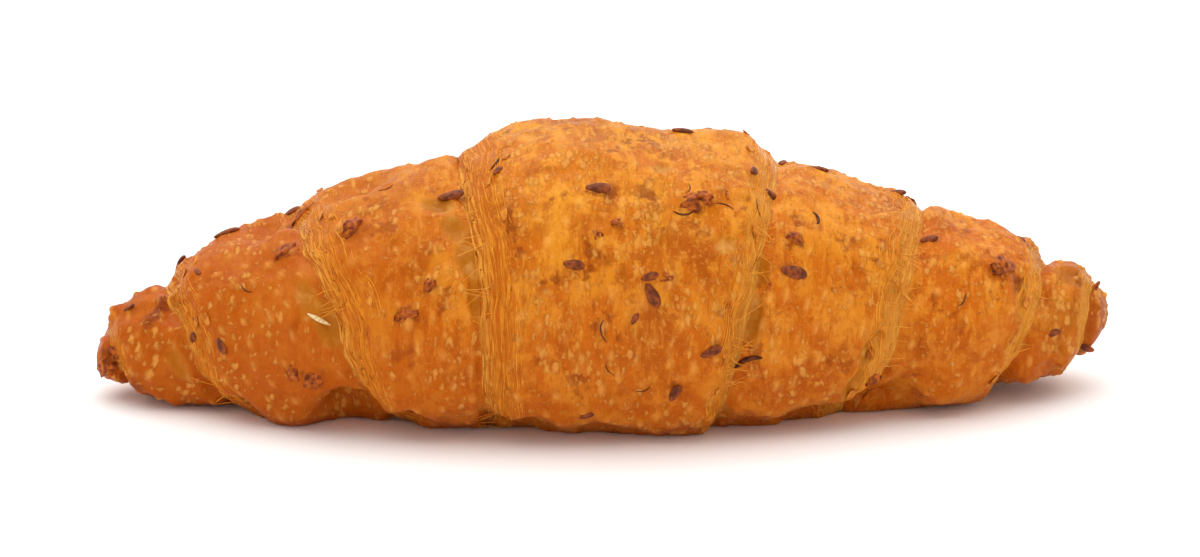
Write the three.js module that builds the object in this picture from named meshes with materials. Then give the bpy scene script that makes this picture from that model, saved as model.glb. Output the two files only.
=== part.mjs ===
// A croissant lying on its flat baked base. A long triangle of laminated dough is rolled up from its wide
// end, so the roll is fat in the middle and thin at the horns. Each cut edge of the triangle shows as one
// spiral seam, which winds outwards from the triangle's tip, tucked under the middle, to the end of its
// horn. Between two turns of the seam the dough has puffed up into a rounded wrap, and each wrap ends in a
// lip above the next one. It was baked as one piece, so it is one solid.
//
// Millimetres, +Z up, +X along the roll, -Y the front. The origin is the centre of the bounding box's
// bottom face.

import * as THREE from "three";
import { ParametricGeometry } from "three/addons/geometries/ParametricGeometry.js";
import { mergeVertices } from "three/addons/utils/BufferGeometryUtils.js";

const LENGTH = 180; // from horn to horn
const HORN_CAP = 7; // how much of each horn's end is rounded off
const LIP_SLOPE = 6; // width of the cut edge of the dough, which slopes down from a lip to the seam
const LIP_SHARE = 0.4; // the most of a narrow wrap that the slope may take
const PUFF = 2.2; // above 1 a wrap rises quickly out of the seam, then slowly to its lip
const SQUARENESS = 2.25; // exponent of the cross-section's superellipse; 2 is a plain ellipse
const STEPS_ALONG = 96;
const STEPS_AROUND = 44;
const HORN_CROWDING = 0.4; // how much closer the steps lie at the horns, from 0, even, to 1
const MERGE_TOLERANCE = 1e-4;
const CRUST_COLOUR = 0xc9762a;
const CRUST_ROUGHNESS = 0.6;

// Cross-sections of the roll from the left horn to the right: half the depth, the height of the top, the
// height of the underside before the base is pressed flat on the tray, and how far the section bends
// towards the back.
const SECTIONS = [
  { along: -90, halfDepth: 7.5, top: 13, under: 0.8, bend: 3.2 },
  { along: -80, halfDepth: 12, top: 20, under: -0.3, bend: 3 },
  { along: -70, halfDepth: 17.5, top: 27.5, under: -2.5, bend: 2 },
  { along: -52, halfDepth: 25, top: 36.5, under: -2.3, bend: -1 },
  { along: -30, halfDepth: 31, top: 45.2, under: -4.3, bend: 0 },
  { along: -12, halfDepth: 34, top: 50, under: -5.6, bend: 0 },
  { along: 15, halfDepth: 34, top: 48.2, under: -6, bend: 1 },
  { along: 30, halfDepth: 31, top: 44.6, under: -5.5, bend: 2 },
  { along: 52, halfDepth: 25, top: 36.5, under: -3, bend: 4.5 },
  { along: 68, halfDepth: 19.5, top: 31.4, under: 0.3, bend: 6.5 },
  { along: 80, halfDepth: 13, top: 24.3, under: 2, bend: 9 },
  { along: 90, halfDepth: 9, top: 20.5, under: 6.5, bend: 11 },
];

// The spiral seams. A whole turn goes from the underside up the front, over the top and down the back;
// beside each stand the distances of the left and the right seam from the middle of the roll there.
const SEAMS = [
  { turn: 0, left: 14, right: 12 },
  { turn: 0.25, left: 20.6, right: 23.5 },
  { turn: 0.5, left: 25.6, right: 30.5 },
  { turn: 0.75, left: 28.6, right: 34.5 },
  { turn: 1, left: 34, right: 39 },
  { turn: 1.25, left: 44.8, right: 50.5 },
  { turn: 1.5, left: 54.5, right: 56.3 },
  { turn: 1.75, left: 58, right: 60 },
  { turn: 2, left: 64, right: 66 },
  { turn: 2.25, left: 71.8, right: 75 },
  { turn: 2.5, left: 78.5, right: 79.2 },
  { turn: 2.75, left: 81, right: 81 },
  { turn: 3, left: 84, right: 83 },
  { turn: 3.5, left: 88, right: 87 },
];

// How deep the seam lies below the lips: nothing at the tucked-in tip, least again where the wraps are thin.
const SEAM_DEPTHS = [
  { turn: 0, depth: 0 },
  { turn: 0.12, depth: 2.2 },
  { turn: 0.5, depth: 3 },
  { turn: 1, depth: 2.9 },
  { turn: 1.3, depth: 3.4 },
  { turn: 2, depth: 2.8 },
  { turn: 2.5, depth: 2.6 },
  { turn: 3.5, depth: 1 },
];

// Where the dough puffed up more than beside it, or less: the middle of each such place along and around
// the roll, how far it reaches along the roll and around it as a share of a turn, and how far the crust
// rises there.
const LUMPS = [
  { along: -27, around: 0.5, reach: 9, spread: 0.08, rise: 1.7 },
  { along: -55, around: 0.11, reach: 9, spread: 0.07, rise: 1.6 },
  { along: -41, around: 0.12, reach: 7, spread: 0.06, rise: -1.8 },
  { along: -76, around: 0.4, reach: 7, spread: 0.09, rise: -1.2 },
  { along: -40, around: 0.5, reach: 6, spread: 0.08, rise: -1 },
  { along: 46, around: 0.12, reach: 7, spread: 0.06, rise: -1.4 },
  { along: 48, around: 0.27, reach: 5, spread: 0.06, rise: -1.4 },
  { along: 60, around: 0.14, reach: 8, spread: 0.08, rise: 1.2 },
  { along: 30, around: 0.8, reach: 11, spread: 0.09, rise: 1.5 },
  { along: -45, around: 0.78, reach: 10, spread: 0.09, rise: -1.3 },
];

// A smooth curve through the rows of a table: given a value in its first column, it returns the other
// columns there.
function curveThrough(rows) {
  const [key, ...columns] = Object.keys(rows[0]);
  const samples = rows.flatMap((row) => columns.map((column) => row[column]));
  const curve = new THREE.CubicInterpolant(rows.map((row) => row[key]), samples, columns.length);
  return (at) => curve.evaluate(at);
}

const sectionAt = curveThrough(SECTIONS);
const seamsAt = curveThrough(SEAMS);
const seamDepthAt = curveThrough(SEAM_DEPTHS);
const lastTurn = SEAMS.at(-1).turn;

// The turns of the seam on either side of a point: the one nearer the middle of the roll, if there is one,
// and the one under the wrap's own lip, which on the last wrap is the end of the horn.
function seamsBeside(along, around) {
  const distance = Math.abs(along);
  const side = along < 0 ? 0 : 1;
  let inner = { distance: 0, depth: 0 };
  for (let turn = around; turn <= lastTurn; turn += 1) {
    const seam = { distance: seamsAt(turn)[side], depth: seamDepthAt(turn)[0] };
    if (distance < seam.distance) return { distance, inner, outer: seam };
    inner = seam;
  }
  return { distance, inner, outer: { distance: LENGTH / 2, depth: 0 } };
}

// How far the surface lies below the line of the lips.
function seamRelief(along, around) {
  const { distance, inner, outer } = seamsBeside(along, around);
  const width = outer.distance - inner.distance;
  const share = (distance - inner.distance) / width;
  const slope = Math.min(LIP_SLOPE / width, LIP_SHARE);
  const belowInner = inner.depth * (1 - share) ** PUFF;
  const belowOuter = outer.depth * THREE.MathUtils.smoothstep(share, 1 - slope, 1);
  return belowInner + belowOuter;
}

// How far the lumps raise the surface there.
function lumpRise(along, around) {
  const rises = LUMPS.map((lump) => {
    const away = Math.abs(around - lump.around);
    const roundAway = Math.min(away, 1 - away) / lump.spread;
    const far = Math.hypot((along - lump.along) / lump.reach, roundAway);
    return lump.rise * (1 - THREE.MathUtils.smoothstep(far, 0, 1));
  });
  return rises.reduce((total, rise) => total + rise, 0);
}

// Shrinks the last few millimetres of each horn to a rounded end.
function hornRounding(along) {
  const past = Math.max(0, Math.abs(along) - (LENGTH / 2 - HORN_CAP)) / HORN_CAP;
  return Math.sqrt(Math.max(0, 1 - past ** 2));
}

const superellipse = (value) => Math.sign(value) * Math.abs(value) ** (2 / SQUARENESS);

// A point of the crust. Both shares run from 0 to 1: along the roll from the left horn to the right, and
// around it from its underside up the front.
function crustPoint(alongShare, around, target) {
  const even = 2 * alongShare - 1;
  const crowded = -Math.cos(Math.PI * alongShare);
  const along = (LENGTH / 2) * THREE.MathUtils.lerp(even, crowded, HORN_CROWDING);
  const [halfDepth, top, under, bend] = sectionAt(along);
  const halfHeight = (top - under) / 2;
  const angle = 2 * Math.PI * around;
  const outwards = new THREE.Vector2(-superellipse(Math.sin(angle)), -superellipse(Math.cos(angle)));
  const section = new THREE.Vector2(outwards.x * halfDepth, outwards.y * halfHeight);
  section.addScaledVector(outwards.normalize(), lumpRise(along, around) - seamRelief(along, around % 1));
  section.multiplyScalar(hornRounding(along));
  const height = under + halfHeight + section.y;
  target.set(along, bend + section.x, Math.max(0, height));
}

// One closed skin: the rows' ends and each horn's last row are merged, and the triangles that this flattens
// go.
function closedSkin(geometry) {
  geometry.deleteAttribute("normal");
  geometry.deleteAttribute("uv");
  const merged = mergeVertices(geometry, MERGE_TOLERANCE);
  const corners = Array.from(merged.index.array);
  const kept = [];
  for (let i = 0; i < corners.length; i += 3) {
    const [a, b, c] = corners.slice(i, i + 3);
    if (a !== b && b !== c && c !== a) kept.push(a, b, c);
  }
  merged.setIndex(kept);
  merged.computeVertexNormals();
  return merged;
}

// Moves the origin to the centre of the bounding box's bottom face.
function standOnOrigin(geometry) {
  geometry.computeBoundingBox();
  const centre = geometry.boundingBox.getCenter(new THREE.Vector3());
  geometry.translate(-centre.x, -centre.y, -geometry.boundingBox.min.z);
  return geometry;
}

const skin = closedSkin(new ParametricGeometry(crustPoint, STEPS_ALONG, STEPS_AROUND));
const crust = new THREE.MeshStandardMaterial({
  color: CRUST_COLOUR,
  roughness: CRUST_ROUGHNESS,
  metalness: 0,
});
const croissant = new THREE.Mesh(standOnOrigin(skin), crust);
croissant.name = "croissant";

const part = new THREE.Group();
part.add(croissant);

export default part;
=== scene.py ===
"""A multigrain croissant on a pale studio floor.

A triangle of laminated dough is rolled up from its wide end. The crust is built the same way: a flat grid
stands for the triangle, and rolling it leaves two spiral seams, which wind from the triangle's tip, tucked
under the middle, to the horns. The crust is then puffed, creased and blistered, and seeds, grains, strands
and flakes are set on it.

Lengths are in millimetres up to the moment when a mesh is made, and in metres from there on.
"""

from __future__ import annotations

import logging
import math
import random
from dataclasses import dataclass, replace
from enum import Enum
from typing import Any, Callable, Sequence

import bpy
import numpy as np
from mathutils import Matrix, Vector, bvhtree, kdtree, noise

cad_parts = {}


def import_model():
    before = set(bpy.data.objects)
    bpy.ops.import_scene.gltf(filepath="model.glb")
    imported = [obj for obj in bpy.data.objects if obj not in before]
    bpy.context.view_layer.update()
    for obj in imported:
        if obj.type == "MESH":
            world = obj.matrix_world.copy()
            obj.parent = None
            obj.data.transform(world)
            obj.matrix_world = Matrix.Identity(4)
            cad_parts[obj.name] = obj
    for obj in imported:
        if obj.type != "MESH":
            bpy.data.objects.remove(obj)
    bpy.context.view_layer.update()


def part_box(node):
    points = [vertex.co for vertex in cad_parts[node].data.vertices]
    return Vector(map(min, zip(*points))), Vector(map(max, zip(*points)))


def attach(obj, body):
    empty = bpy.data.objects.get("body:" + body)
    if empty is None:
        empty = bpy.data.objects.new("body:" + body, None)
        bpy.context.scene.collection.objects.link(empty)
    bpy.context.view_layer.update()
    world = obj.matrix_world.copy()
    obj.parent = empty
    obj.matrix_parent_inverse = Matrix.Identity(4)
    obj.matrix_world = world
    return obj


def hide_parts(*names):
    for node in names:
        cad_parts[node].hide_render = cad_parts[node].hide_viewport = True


LOG = logging.getLogger("croissant")
MM = 0.001
NODE = "croissant"
BODY = "root"
MEAN_GIRTH = 140.0  # mm round the roll, to weigh a share of a turn against a distance along it

Array = np.ndarray
Curve = Callable[[Array], Array]
Piece = bpy.types.Object
Finish = bpy.types.Material
Socket = bpy.types.NodeSocket
Tree = bpy.types.NodeTree
Inputs = dict[Any, Any]


class Side(Enum):
    """A half of the croissant, by the sign of X."""

    LEFT = -1
    RIGHT = 1


class Slot(Enum):
    """The record's material slots."""

    CRUST = "crust"
    LINSEED = "linseed"


# ------------------------------------------------------------------------------------------------------
# Helpers for shapes
# ------------------------------------------------------------------------------------------------------


def smooth_curve(keys: Sequence[float], values: Sequence[float]) -> Curve:
    """A smooth curve through a table's points, level beyond either end.

    Args:
        keys: the points' places, in rising order.
        values: the curve's value at each of them.

    Returns:
        The curve, as a function of an array of places.
    """
    places, heights = np.asarray(keys, float), np.asarray(values, float)
    slopes = np.gradient(heights, places)

    def curve(at: Array) -> Array:
        """The curve's height at each place."""
        held = np.clip(at, places[0], places[-1])
        i = np.clip(np.searchsorted(places, held, side="right") - 1, 0, len(places) - 2)
        span = places[i + 1] - places[i]
        t = (held - places[i]) / span
        rise = heights[i + 1] - heights[i]
        bow = (1 - t) * (slopes[i] * span - rise) - t * (slopes[i + 1] * span - rise)
        return heights[i] + t * rise + t * (1 - t) * bow

    return curve


def column_curve(rows: Sequence[Any], key: str, value: str) -> Curve:
    """A smooth curve through two named columns of a table."""
    return smooth_curve([getattr(row, key) for row in rows], [getattr(row, value) for row in rows])


def smoothstep(value: Array, low: float, high: float) -> Array:
    """Rises smoothly from 0 at low to 1 at high."""
    t = np.clip((value - low) / (high - low), 0.0, 1.0)
    return t * t * (3 - 2 * t)


def cloud(points: Array, wavelength: float | Sequence[float], seed: int) -> Array:
    """Smooth noise between about -1 and 1.

    Args:
        points: an N by 3 array of places.
        wavelength: the size of the noise's lumps, the same all ways or one for each axis.
        seed: picks one of many patterns.

    Returns:
        One value for each point.
    """
    shift = np.array([17.3, 41.9, 5.7]) * seed
    return np.array([noise.noise(p) for p in (points / np.asarray(wavelength) + shift).tolist()])


def lying(out: Array, angle: float) -> Array:
    """A direction in the crust's surface.

    Args:
        out: the surface's normal there.
        angle: degrees from the roll's axis, anticlockwise as seen from outside.

    Returns:
        A unit vector.
    """
    along = np.array([1.0, 0.0, 0.0]) - out * out[0]
    along /= max(np.linalg.norm(along), 1e-9)
    turned = math.radians(angle)
    return along * math.cos(turned) + np.cross(out, along) * math.sin(turned)


def nearest_spot(along: Array, share: Array, spot: Spot) -> int:
    """The number of the vertex nearest to a spot.

    Args:
        along: where each vertex lies along the roll, in mm.
        share: its share of a turn.
        spot: the spot.

    Returns:
        The vertex's number.
    """
    apart = np.abs(share - spot.share % 1)
    apart = np.minimum(apart, 1 - apart)
    return int(np.argmin((along - spot.along) ** 2 + (apart * MEAN_GIRTH) ** 2))


def vertex_places(piece: Piece) -> Array:
    """Reads a mesh's vertices, as an N by 3 array."""
    flat = np.empty(len(piece.data.vertices) * 3)
    piece.data.vertices.foreach_get("co", flat)
    return flat.reshape(-1, 3)


def move_vertices(piece: Piece, points: Array) -> None:
    """Moves a mesh's vertices to the places in an N by 3 array."""
    piece.data.vertices.foreach_set("co", points.astype(np.float32).ravel())
    piece.data.update()


def shape(piece: Piece, x: Array, y: Array, z: Array) -> None:
    """Moves a mesh's vertices to the places that X, Y and Z give in mm, and turns them into metres."""
    move_vertices(piece, np.column_stack([x, y, z]) * MM)


def write_uv(piece: Piece, name: str, u: Array, v: Array) -> None:
    """Writes a pair of values at each vertex to the UV map of a name.

    Args:
        piece: the mesh object.
        name: the map's name.
        u: the first value at each vertex.
        v: the second.
    """
    corners = np.empty(len(piece.data.loops), int)
    piece.data.loops.foreach_get("vertex_index", corners)
    layer = piece.data.uv_layers.get(name) or piece.data.uv_layers.new(name=name)
    layer.data.foreach_set("uv", np.column_stack([u, v])[corners].astype(np.float32).ravel())


def write_values(piece: Piece, name: str, values: Array) -> None:
    """Writes a value at each vertex to the attribute of a name."""
    layer = piece.data.attributes.get(name) or piece.data.attributes.new(name, "FLOAT", "POINT")
    layer.data.foreach_set("value", values.astype(np.float32))


def read_values(piece: Piece, name: str) -> Array:
    """Reads an attribute's value at each vertex."""
    values = np.empty(len(piece.data.vertices), np.float32)
    piece.data.attributes[name].data.foreach_get("value", values)
    return values.astype(float)


def select_only(piece: Piece) -> None:
    """Deselects everything, then selects one object and makes it active."""
    bpy.ops.object.select_all(action="DESELECT")
    piece.select_set(True)
    bpy.context.view_layer.objects.active = piece


def join(name: str, parts: Sequence[Piece]) -> Piece:
    """Joins parts into one piece, with a name.

    Args:
        name: the joined piece's name.
        parts: the parts.

    Returns:
        The joined piece.
    """
    select_only(parts[0])
    for part in parts:
        part.select_set(True)
    bpy.ops.object.join()
    joined = bpy.context.active_object
    joined.name = joined.data.name = name
    return joined


def join_copies(name: str, model: Piece, settings: Sequence[Matrix]) -> Piece:
    """Copies a model from the origin to each setting, joins the copies and removes the model.

    Args:
        name: the joined piece's name.
        model: the model.
        settings: the transformation of each copy.

    Returns:
        The joined piece.
    """
    copies = []
    for setting in settings:
        copy = model.copy()
        copy.data = model.data.copy()
        copy.data.transform(setting)
        bpy.context.scene.collection.objects.link(copy)
        copies.append(copy)
    bpy.data.objects.remove(model)
    return join(name, copies)


def tubes(name: str, paths: Sequence[Sequence[Vector]], radii: Sequence[float], taper: float) -> Piece:
    """Draws thin round threads.

    Args:
        name: the piece's name.
        paths: each thread's points, in metres.
        radii: each thread's radius, in mm.
        taper: the radius at its ends, as a share.

    Returns:
        One mesh object with all the threads, closed at their ends.
    """
    curve = bpy.data.curves.new(name, "CURVE")
    curve.dimensions = "3D"
    curve.bevel_depth = MM
    curve.bevel_resolution = 0
    curve.use_fill_caps = True
    for path, radius in zip(paths, radii):
        spline = curve.splines.new("POLY")
        spline.points.add(len(path) - 1)
        for i, (point, place) in enumerate(zip(spline.points, path)):
            point.co = (*place, 1.0)
            middle = math.sin(math.pi * i / (len(path) - 1))
            point.radius = radius * (taper + (1 - taper) * math.sqrt(max(middle, 0.0)))
    piece = bpy.data.objects.new(name, curve)
    bpy.context.scene.collection.objects.link(piece)
    select_only(piece)
    bpy.ops.object.convert(target="MESH")
    piece = bpy.context.active_object
    piece.name = piece.data.name = name
    bpy.ops.object.shade_smooth()
    return piece


def dress(piece: Piece, material: Finish) -> Piece:
    """Gives a finished piece its material and its place in the frame, and keeps it above the floor.

    Args:
        piece: the finished piece.
        material: its material.

    Returns:
        The piece.
    """
    move_vertices(piece, np.maximum(vertex_places(piece), [-np.inf, -np.inf, 0.0]))
    piece.data.materials.clear()
    piece.data.materials.append(material)
    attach(piece, BODY)
    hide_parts(NODE)
    LOG.info("%s: %d faces", piece.name, len(piece.data.polygons))
    return piece


@dataclass(frozen=True)
class Spot:
    """A place on the crust.

    along is in mm from the middle of the roll, share is the share of a turn from the underside up the front,
    lie the angle in degrees from the roll's axis to the long axis of what lies there, and size its scale.
    """

    along: float
    share: float
    lie: float = 0.0
    size: float = 1.0


@dataclass(frozen=True)
class Swell:
    """A local rise of the crust, or a hollow where height is less than 0, in mm.

    length is its half-length along the spot's lie and width its half-width. glassy is how far the skin over
    it stays smooth and translucent, from 0 to 1, and scorched how far it browns.
    """

    spot: Spot
    length: float
    width: float
    height: float
    glassy: float = 0.0
    scorched: float = 0.0


# ------------------------------------------------------------------------------------------------------
# The shape of the roll
# ------------------------------------------------------------------------------------------------------


@dataclass(frozen=True)
class Section:
    """One cross-section of the roll, in mm.

    under is the height of the underside before the base is pressed flat, and bend how far the section's
    middle lies towards the back.
    """

    along: float
    half_depth: float
    top: float
    under: float
    bend: float


@dataclass(frozen=True)
class SeamPoint:
    """Where both seams cross one line along the roll, after so many turns, in mm from the middle."""

    turn: float
    left: float
    right: float


@dataclass(frozen=True)
class SeamStyle:
    """What a seam is like after so many turns, in mm.

    depth is how far it lies below the lips, and edge the width of the cut edge that slopes down to it.
    """

    turn: float
    depth: float
    left_edge: float
    right_edge: float


@dataclass
class Roll:
    """The rolled dough, as a formula: where a turn round it and a reach along it put a point of the crust.

    A whole turn goes from the underside up the front, over the top and down the back. The reach runs along
    the roll and, on a horn's rounded end, over the end to its tip.
    """

    half_length: float
    cap: float = 7.0
    cap_arc: float = 11.0
    squareness: float = 2.25
    first_turn: float = -0.09
    last_turn: float = 4.75
    puff: float = 1.6
    edge_share: float = 0.42
    groove: float = 0.9
    groove_width: float = 2.0
    raggedness: tuple[tuple[float, float], ...] = ((0.11, 1.0), (0.035, 0.5))
    sections: tuple[Section, ...] = tuple(
        Section(*row)
        for row in (
            (-90, 7.5, 13, 0.8, 3.2), (-80, 12, 20, -0.3, 3), (-70, 17.5, 27.5, -2.5, 2),
            (-52, 25, 36.3, -2.3, -1), (-30, 31, 44.8, -4.3, 0), (-12, 34, 49.3, -5.6, 0),
            (15, 34, 47.7, -6, 1), (30, 31, 44.4, -5.5, 2), (52, 25, 36.3, -3, 4.5),
            (68, 19.5, 31.4, 0.3, 6.5), (80, 13, 24.3, 2, 9), (90, 9, 20.5, 6.5, 11),
        )
    )
    seams: tuple[SeamPoint, ...] = tuple(
        SeamPoint(*row)
        for row in (
            (-0.09, 0, 0), (0.0, 14, 12), (0.25, 20.6, 23.5), (0.5, 25.6, 30.5), (0.75, 28.6, 34.5),
            (1.0, 34, 39), (1.25, 44.8, 50.5), (1.5, 54.5, 56.3), (1.75, 58, 60), (2.0, 64, 66),
            (2.25, 71.8, 75), (2.5, 77.2, 78.5), (2.75, 80.3, 80.5), (3.0, 83.5, 83), (3.25, 86, 85.5),
            (3.5, 88, 87.5), (3.75, 90, 90),
        )
    )
    styles: tuple[SeamStyle, ...] = tuple(
        SeamStyle(*row)
        for row in (
            (-0.09, 0, 2, 2), (0.12, 1.4, 5, 3), (0.3, 2.1, 8, 4), (0.5, 2.5, 7.5, 6), (1.0, 2.4, 6, 5),
            (1.3, 2.9, 7, 5), (1.5, 2.1, 6, 5), (2.0, 2.3, 5, 4), (2.5, 2.2, 4, 3), (3.2, 2.0, 3, 3),
            (3.75, 0, 2, 2),
        )
    )

    def __post_init__(self) -> None:
        """Turns the tables into curves."""
        self._half_depth, self._top, self._under, self._bend = (
            column_curve(self.sections, "along", name) for name in ("half_depth", "top", "under", "bend")
        )
        self._depth = column_curve(self.styles, "turn", "depth")
        self._seam, self._edge = {}, {}
        for side in Side:
            name = side.name.lower()
            reaches = [self.reach(getattr(point, name)) for point in self.seams]
            self._seam[side] = smooth_curve([point.turn for point in self.seams], reaches)
            self._edge[side] = column_curve(self.styles, "turn", name + "_edge")

    @property
    def cap_start(self) -> float:
        """Where a horn's rounded end starts, in mm from the middle."""
        return self.half_length - self.cap

    def reach(self, distance: float) -> float:
        """The reach, over the crust, of a point at a distance from the middle.

        Args:
            distance: in mm, along X.

        Returns:
            The reach, in mm.
        """
        if distance <= self.cap_start:
            return distance
        over = min(1.0, (distance - self.cap_start) / self.cap)
        return self.cap_start + self.cap_arc * math.asin(over) / (math.pi / 2)

    def seam_reach(self, side: Side, turn: Array) -> Array:
        """How far out the seam lies after so many turns, from the middle to the horn's tip."""
        shown = smoothstep(turn, self.first_turn, 0.2) * (1 - smoothstep(turn, 2.9, 3.6))
        return self._seam[side](turn) + shown * self.wobble(side, turn, 31)

    def wobble(self, side: Side, turn: Array, seed: int) -> Array:
        """How far a torn edge strays from its even line, in mm."""
        place = np.column_stack([turn, np.full_like(turn, side.value), np.zeros_like(turn)])
        return sum(size * cloud(place, (turns, 1.7, 1.0), seed) for turns, size in self.raggedness)

    def depth(self, side: Side, turn: Array) -> Array:
        """How deep the seam lies below the lips, in mm; 0 before it starts and once it ends."""
        return self._depth(turn) * (1 + 0.3 * self.wobble(side, turn, 32))

    def edge_width(self, side: Side, turn: Array, width: Array) -> Array:
        """Width of the cut edge of a wrap of the given width, in mm."""
        ragged = self._edge[side](turn) * (1 + 0.3 * self.wobble(side, turn, 33))
        return np.minimum(ragged, self.edge_share * width)

    def point(self, turn: Array, reach: Array, lift: Array) -> Array:
        """Places points of the crust, before the base is pressed flat.

        Args:
            turn: turns round the roll.
            reach: reach along it, less than 0 on the left.
            lift: how far each point stands above the line of the lips, in mm.

        Returns:
            An N by 3 array, in mm.
        """
        over = np.clip((np.abs(reach) - self.cap_start) / self.cap_arc, 0.0, 1.0) * math.pi / 2
        straight = np.minimum(np.abs(reach), self.cap_start)
        along = np.sign(reach) * (straight + self.cap * np.sin(over))
        angle = 2 * math.pi * turn
        power = 2 / self.squareness
        out_y = -np.sign(np.sin(angle)) * np.abs(np.sin(angle)) ** power
        out_z = -np.sign(np.cos(angle)) * np.abs(np.cos(angle)) ** power
        length = np.hypot(out_y, out_z)
        half_height = (self._top(along) - self._under(along)) / 2
        rounding = np.cos(over)
        y = self._bend(along) + (out_y * self._half_depth(along) + out_y / length * lift) * rounding
        z = self._under(along) + half_height + (out_z * half_height + out_z / length * lift) * rounding
        return np.column_stack([along, y, z])


# ------------------------------------------------------------------------------------------------------
# Finishes
# ------------------------------------------------------------------------------------------------------


def linear(colour: str) -> tuple[float, float, float, float]:
    """Turns an sRGB hex colour, as "#rrggbb", into linear light, with an alpha of 1."""
    channels = [int(colour[i : i + 2], 16) / 255 for i in (1, 3, 5)]
    lit = [c / 12.92 if c <= 0.04045 else ((c + 0.055) / 1.055) ** 2.4 for c in channels]
    return (*lit, 1.0)


def connect(tree: Tree, node: bpy.types.Node, inputs: Inputs) -> None:
    """Fills a node's inputs: a socket is linked, a hex colour turned into light, and a value set.

    Args:
        tree: the node tree.
        node: the node.
        inputs: for each input, by name or number, what goes into it.
    """
    for key, value in inputs.items():
        if isinstance(value, Socket):
            tree.links.new(value, node.inputs[key])
        else:
            node.inputs[key].default_value = linear(value) if isinstance(value, str) else value


def add_node(tree: Tree, kind: str, inputs: Inputs | None = None, **settings: Any) -> Any:
    """Adds a shader node with its settings and links.

    Args:
        tree: the node tree.
        kind: the node's type, without the leading "ShaderNode".
        inputs: for each input, by name or number, what connect takes.
        **settings: properties of the node.

    Returns:
        The new node.
    """
    node = tree.nodes.new("ShaderNode" + kind)
    for name, value in settings.items():
        setattr(node, name, value)
    connect(tree, node, inputs or {})
    return node


class Recipe:
    """A new material, and the nodes that the finishes use most."""

    def __init__(self, name: str) -> None:
        """Starts the material."""
        self.material = bpy.data.materials.new(name)
        self.material.use_nodes = True
        self.tree = self.material.node_tree

    def add(self, kind: str, inputs: Inputs | None = None, **settings: Any) -> Any:
        """Adds a node to the material."""
        return add_node(self.tree, kind, inputs, **settings)

    def finish(self, inputs: Inputs) -> Finish:
        """Fills the inputs of the material's shader, and returns the material."""
        connect(self.tree, self.tree.nodes["Principled BSDF"], inputs)
        return self.material

    def reckon(self, operation: str, *values: Any) -> Socket:
        """The result of a sum with sockets or numbers."""
        return self.add("Math", dict(enumerate(values)), operation=operation).outputs[0]

    def blend(self, share: Any, below: Any, above: Any, **settings: Any) -> Socket:
        """Covers one colour with another, as far as the share says."""
        return self.add("Mix", {0: share, 6: below, 7: above}, data_type="RGBA", **settings).outputs[2]

    def ramp(self, value: Any, low: float, high: float, start: float = 0.0, end: float = 1.0) -> Socket:
        """Rises smoothly from start, where value is low, to end, where it is high."""
        inputs = {"Value": value, "From Min": low, "From Max": high, "To Min": start, "To Max": end}
        return self.add("MapRange", inputs, interpolation_type="SMOOTHSTEP").outputs["Result"]

    def noise(self, place: Any, size: float, detail: float, **inputs: float) -> Socket:
        """Noise with lumps of a size, in the units of its place."""
        inputs = {"Vector": place, "Scale": 1 / size, "Detail": detail, **inputs}
        return self.add("TexNoise", inputs).outputs["Fac"]

    def flat_noise(self, place: Any, scale: float, detail: float, **inputs: float) -> Any:
        """A node with noise over a flat pattern."""
        inputs = {"Vector": place, "Scale": scale, "Detail": detail, **inputs}
        return self.add("TexNoise", inputs, noise_dimensions="2D")

    def stored(self, attribute: str) -> Socket:
        """The mesh's attribute of a name."""
        return self.add("Attribute", attribute_name=attribute).outputs["Fac"]

    def part(self, vector: Any, axis: str) -> Socket:
        """One part of a vector."""
        return self.add("SeparateXYZ", {0: vector}).outputs[axis]

    def bump(self, height: Any, distance: float, strength: float, below: Socket | None = None) -> Socket:
        """Adds relief, up to a distance in mm, over what lies below it."""
        inputs = {"Height": height, "Distance": distance * MM, "Strength": strength}
        return self.add("Bump", inputs if below is None else {**inputs, "Normal": below}).outputs[0]


@dataclass(frozen=True)
class StudioWhite:
    """Matt white paper: it lifts the floor to plain white, under a soft warm shadow."""

    colour: str = "#fbfaf8"
    roughness: float = 0.9

    def make(self) -> Finish:
        """Builds the material."""
        look = {"Base Color": self.colour, "Roughness": self.roughness, "Specular IOR Level": 0.0}
        return Recipe("matt_white_paper").finish(look)


@dataclass(frozen=True)
class Stain:
    """One layer of colour over the crust, where a cloud of noise is dense.

    size is the cloud's lumps along the roll, in mm, and stretch how many times longer they are round it. low
    and high are the noise values at which the layer starts and is full, and strength its cover there.
    """

    colour: str
    size: float
    low: float
    high: float
    strength: float
    detail: float = 3.0
    stretch: float = 1.0


@dataclass(frozen=True)
class BlisterLayer:
    """Blisters of one size, in mm.

    length and width are the spacing round and along the roll, share how much of the crust has them, and
    radius the largest blister's radius as a share of the spacing.
    """

    length: float
    width: float
    share: float
    radius: float
    paleness: float


@dataclass(frozen=True)
class ThreadLayer:
    """Lines along the cut edge: their length in mm, their count across it, and the noise that shows them."""

    length: float
    lines: float
    low: float
    high: float


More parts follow.
